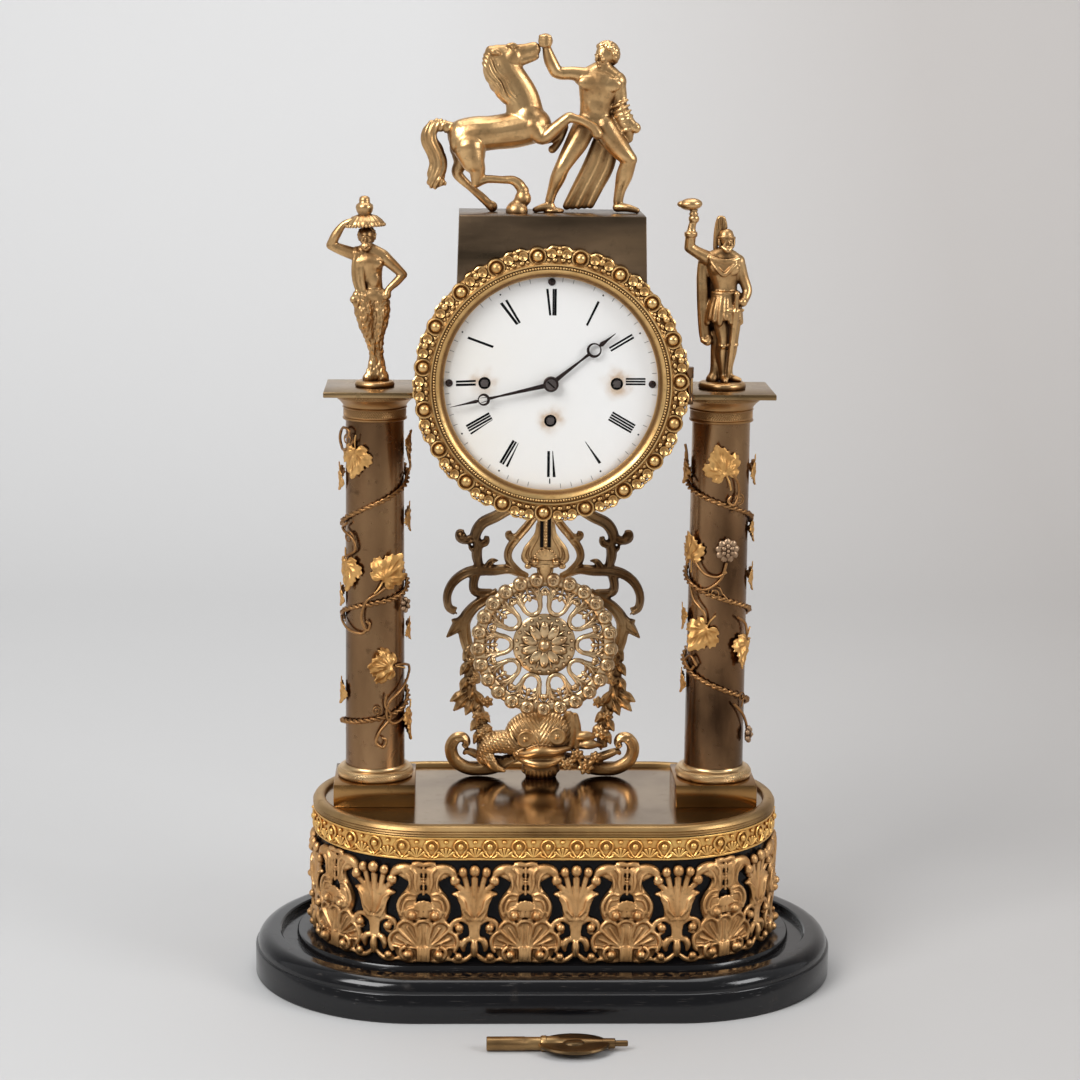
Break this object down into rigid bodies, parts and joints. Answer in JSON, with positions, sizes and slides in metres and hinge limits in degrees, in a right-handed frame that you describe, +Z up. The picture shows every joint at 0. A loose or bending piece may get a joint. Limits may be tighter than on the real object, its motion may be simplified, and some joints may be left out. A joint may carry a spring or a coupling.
{
  "type": "column mantel clock",
  "caption": "Mantel clock with a round drum case on an openwork bracket between vine-clad columns, cast figures on top, a pierced brass frieze round its black base, and a loose winding key.",
  "frame": {"origin": "centre of the base's underside, on the surface it stands on", "axes": "+Z up, +X to the viewer's right, -Y towards the viewer, so the dial faces -Y"},
  "size_m": [0.325, 0.236, 0.5203],
  "materials": {
    "gilt": "worn gilt cast and stamped brass",
    "dark_brass": "polished sheet brass gone dark",
    "brass": "polished and turned",
    "ebonised": "black polish",
    "enamel": "white enamel with black numerals",
    "dark_steel": "blued and browned",
    "steel": "bright",
    "glass": "clear"
  },
  "bodies": {
    "clock": {"base_plinth": "ebonised", "base_drum": "ebonised", "top_plate": "brass", "top_rim": "brass", "stamped_band": "gilt", "pierced_frieze": "gilt", "column_block_left": "dark_brass", "column_foot_left": "brass", "column_shaft_left": "dark_brass", "column_capital_left": "brass", "column_abacus_left": "brass", "tie_rod_left": "steel", "vine_left": "gilt", "column_block_right": "dark_brass", "column_foot_right": "brass", "column_shaft_right": "dark_brass", "column_capital_right": "brass", "column_abacus_right": "brass", "tie_rod_right": "steel", "vine_right": "gilt", "faun_figure": "gilt", "soldier_figure": "gilt", "horse_figure": "gilt", "tamer_figure": "gilt", "drum_case": "dark_brass", "saddle_block": "dark_brass", "enamel_dial": "enamel", "dial_screw_top": "dark_steel", "dial_screw_left": "dark_steel", "dial_screw_right": "dark_steel", "front_plate": "brass", "back_plate": "brass", "quarter_bell": "brass", "hour_bell": "brass", "scroll_bracket": "gilt"},
    "bezel_door": {"bezel": "gilt", "dial_glass": "glass"},
    "back_door": {"back_cover": "dark_brass"},
    "minute_train": {"centre_arbor": "brass", "cannon_pinion": "steel", "minute_hand": "dark_steel", "hand_screw": "dark_steel"},
    "hour_train": {"hour_wheel": "brass", "hour_hand": "dark_steel"},
    "minute_idler": {"minute_wheel": "brass"},
    "third_wheel": {"third_arbor": "brass"},
    "escape": {"escape_wheel": "brass"},
    "anchor": {"anchor_and_crutch": "steel"},
    "going_drum": {"going_barrel": "brass"},
    "strike_drum": {"strike_barrel": "brass"},
    "quarter_drum": {"quarter_barrel": "brass"},
    "going_square": {"going_winding_arbor": "steel"},
    "strike_square": {"strike_winding_arbor": "steel"},
    "quarter_square": {"quarter_winding_arbor": "steel"},
    "quarter_striker": {"quarter_hammer": "steel"},
    "hour_striker": {"hour_hammer": "steel"},
    "pendulum": {"pendulum_rod": "gilt", "pendulum_bob": "gilt"},
    "key": {"key_stem": "brass", "key_bow": "brass"}
  },
  "joints": [
    {"name": "bezel_open", "type": "hinge", "parent": "clock", "child": "bezel_door", "pos_m": [0.0739, -0.0334, 0.3378], "axis": [0, 0, 1], "range_deg": [0, 110]},
    {"name": "back_open", "type": "hinge", "parent": "clock", "child": "back_door", "pos_m": [0.0644, 0.0452, 0.3378], "axis": [0, 0, 1], "range_deg": [-110, 0]},
    {"name": "minute_turn", "type": "hinge", "parent": "clock", "child": "minute_train", "pos_m": [0, 0, 0.3378], "axis": [0, 1, 0], "continuous": true},
    {"name": "hour_turn", "type": "hinge", "parent": "clock", "child": "hour_train", "pos_m": [0, 0, 0.3378], "axis": [0, 1, 0], "continuous": true},
    {"name": "minute_wheel_turn", "type": "hinge", "parent": "clock", "child": "minute_idler", "pos_m": [0.01039, 0, 0.34819], "axis": [0, 1, 0], "continuous": true},
    {"name": "third_turn", "type": "hinge", "parent": "clock", "child": "third_wheel", "pos_m": [0, 0, 0.3526], "axis": [0, 1, 0], "continuous": true},
    {"name": "escape_turn", "type": "hinge", "parent": "clock", "child": "escape", "pos_m": [0, 0, 0.3642], "axis": [0, 1, 0], "continuous": true},
    {"name": "going_barrel_turn", "type": "hinge", "parent": "clock", "child": "going_drum", "pos_m": [0, 0, 0.3176], "axis": [0, 1, 0], "continuous": true},
    {"name": "strike_barrel_turn", "type": "hinge", "parent": "clock", "child": "strike_drum", "pos_m": [0.0355, 0, 0.3378], "axis": [0, 1, 0], "continuous": true},
    {"name": "quarter_barrel_turn", "type": "hinge", "parent": "clock", "child": "quarter_drum", "pos_m": [-0.0355, 0, 0.3378], "axis": [0, 1, 0], "continuous": true},
    {"name": "going_wind", "type": "hinge", "parent": "clock", "child": "going_square", "pos_m": [0, 0, 0.3176], "axis": [0, 1, 0], "continuous": true},
    {"name": "strike_wind", "type": "hinge", "parent": "clock", "child": "strike_square", "pos_m": [0.0355, 0, 0.3378], "axis": [0, 1, 0], "continuous": true},
    {"name": "quarter_wind", "type": "hinge", "parent": "clock", "child": "quarter_square", "pos_m": [-0.0355, 0, 0.3378], "axis": [0, 1, 0], "continuous": true},
    {"name": "pendulum_swing", "type": "hinge", "parent": "clock", "child": "pendulum", "pos_m": [0, 0.026, 0.3746], "axis": [0, 1, 0], "range_deg": [-4, 4]},
    {"name": "anchor_rock", "type": "hinge", "parent": "clock", "child": "anchor", "pos_m": [0, 0, 0.3746], "axis": [0, 1, 0], "range_deg": [-4, 4]},
    {"name": "quarter_strike", "type": "hinge", "parent": "clock", "child": "quarter_striker", "pos_m": [-0.031, 0.03, 0.3208], "axis": [0, 1, 0], "range_deg": [-15, 0], "stiffness_Nm_per_rad": 0.01},
    {"name": "hour_strike", "type": "hinge", "parent": "clock", "child": "hour_striker", "pos_m": [0.031, 0.03, 0.3208], "axis": [0, 1, 0], "range_deg": [0, 15], "stiffness_Nm_per_rad": 0.01},
    {"name": "key_lift", "type": "slide", "parent": "clock", "child": "key", "axis": [0, 0, 1], "range_m": [0, 0.12]}
  ],
  "couplings": [
    {"joint": "hour_turn", "follows": "minute_turn", "ratio": 0.083333},
    {"joint": "minute_wheel_turn", "follows": "minute_turn", "ratio": -0.33333},
    {"joint": "third_turn", "follows": "minute_turn", "ratio": -4.8},
    {"joint": "escape_turn", "follows": "minute_turn", "ratio": 18.783},
    {"joint": "going_barrel_turn", "follows": "minute_turn", "ratio": -0.4214},
    {"joint": "anchor_rock", "follows": "pendulum_swing", "ratio": 1}
  ]
}
